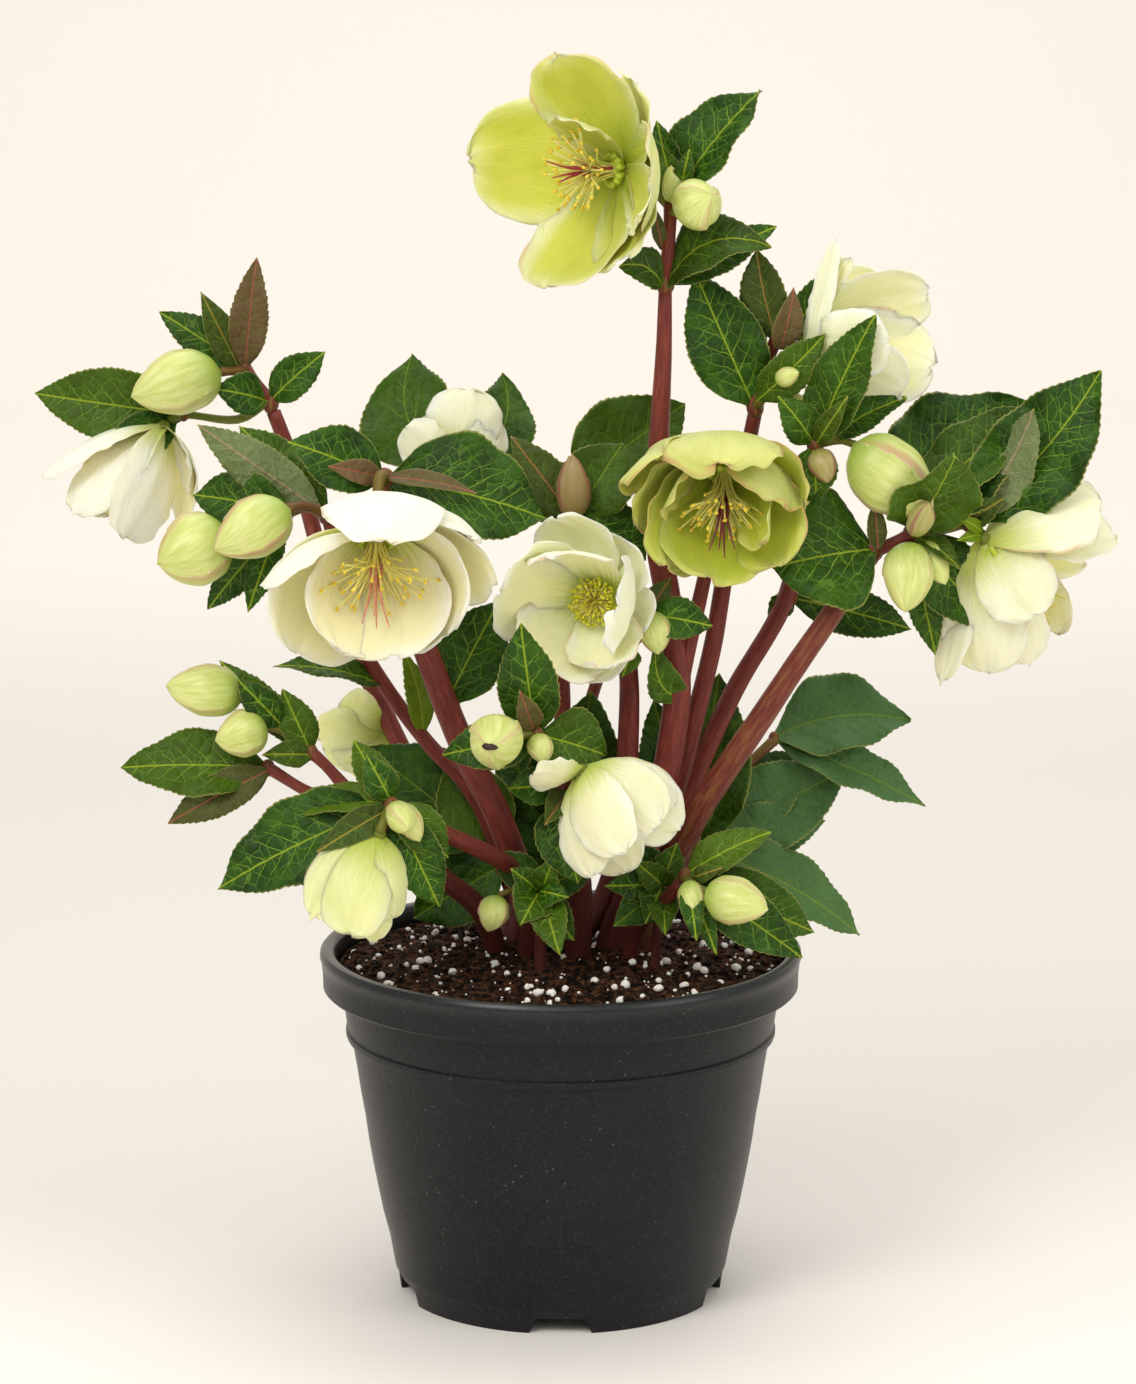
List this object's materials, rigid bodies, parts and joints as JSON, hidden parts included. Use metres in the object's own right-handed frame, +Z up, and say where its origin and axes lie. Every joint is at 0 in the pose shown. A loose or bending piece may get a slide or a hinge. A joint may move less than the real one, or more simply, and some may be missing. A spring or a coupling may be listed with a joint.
{
  "type": "potted hellebore plant",
  "caption": "Flowering hellebore with branched leafy stems, cupped five-sepal blooms, buds and stamens, growing from soil in a round tapered nursery pot.",
  "frame": {"origin": "on the resting surface, under the middle of the plant and pot", "axes": "+Z up along the pot's axis, +Y away from the front that the blooms face, +X to the right"},
  "size_m": [0.3857, 0.1832, 0.4366],
  "materials": {
    "pot": "matte charcoal plastic with fine specks and a soft sheen on the lip",
    "soil": "dark brown peat with white perlite beads",
    "stem": "satin maroon skin with pale specks",
    "leaf": "satin deep green with lighter net veins",
    "white_sepal": "soft cream white, greener toward the base",
    "lime_sepal": "soft lime yellow",
    "green_sepal": "soft yellow green with brown speckles and edges",
    "stamens": "powdery yellow",
    "bud": "satin pale lime with pink edges"
  },
  "bodies": {
    "root": {"bloom_back": "white_sepal", "bloom_bell": "lime_sepal", "bloom_far_left": "white_sepal", "bloom_front": "white_sepal", "bloom_left": "white_sepal", "bloom_lime": "green_sepal", "bloom_low_back": "white_sepal", "bloom_middle": "white_sepal", "bloom_right": "white_sepal", "bloom_tall": "lime_sepal", "bloom_upper_right": "white_sepal", "bud_far_left": "bud", "bud_front": "bud", "bud_left": "bud", "bud_lower_right": "bud", "bud_mid_left_lower": "bud", "bud_mid_left_upper": "bud", "bud_outer_left": "bud", "bud_right": "bud", "bud_shoulder": "bud", "bud_tall": "bud", "leaves_back": "leaf", "leaves_back_right": "leaf", "leaves_centre_back": "leaf", "leaves_crown": "leaf", "leaves_crown_right": "leaf", "leaves_far_left": "leaf", "leaves_far_side": "leaf", "leaves_front": "leaf", "leaves_left": "leaf", "leaves_lower_left": "leaf", "leaves_lower_right": "leaf", "leaves_mid_left": "leaf", "leaves_middle": "leaf", "leaves_outer_left": "leaf", "leaves_right": "leaf", "leaves_shoulder": "leaf", "leaves_tall": "leaf", "leaves_tall_back": "leaf", "leaves_upper_right": "leaf", "pot": "pot", "soil": "soil", "stamens_left": "stamens", "stamens_lime": "stamens", "stamens_middle": "stamens", "stamens_right": "stamens", "stamens_tall": "stamens", "stem_centre_back": "stem", "stem_far_left": "stem", "stem_front": "stem", "stem_left": "stem", "stem_lower_left": "stem", "stem_lower_right": "stem", "stem_mid_left": "stem", "stem_middle": "stem", "stem_outer_left": "stem", "stem_right": "stem", "stem_shoulder": "stem", "stem_tall": "stem", "stem_upper_right": "stem"}
  },
  "joints": []
}
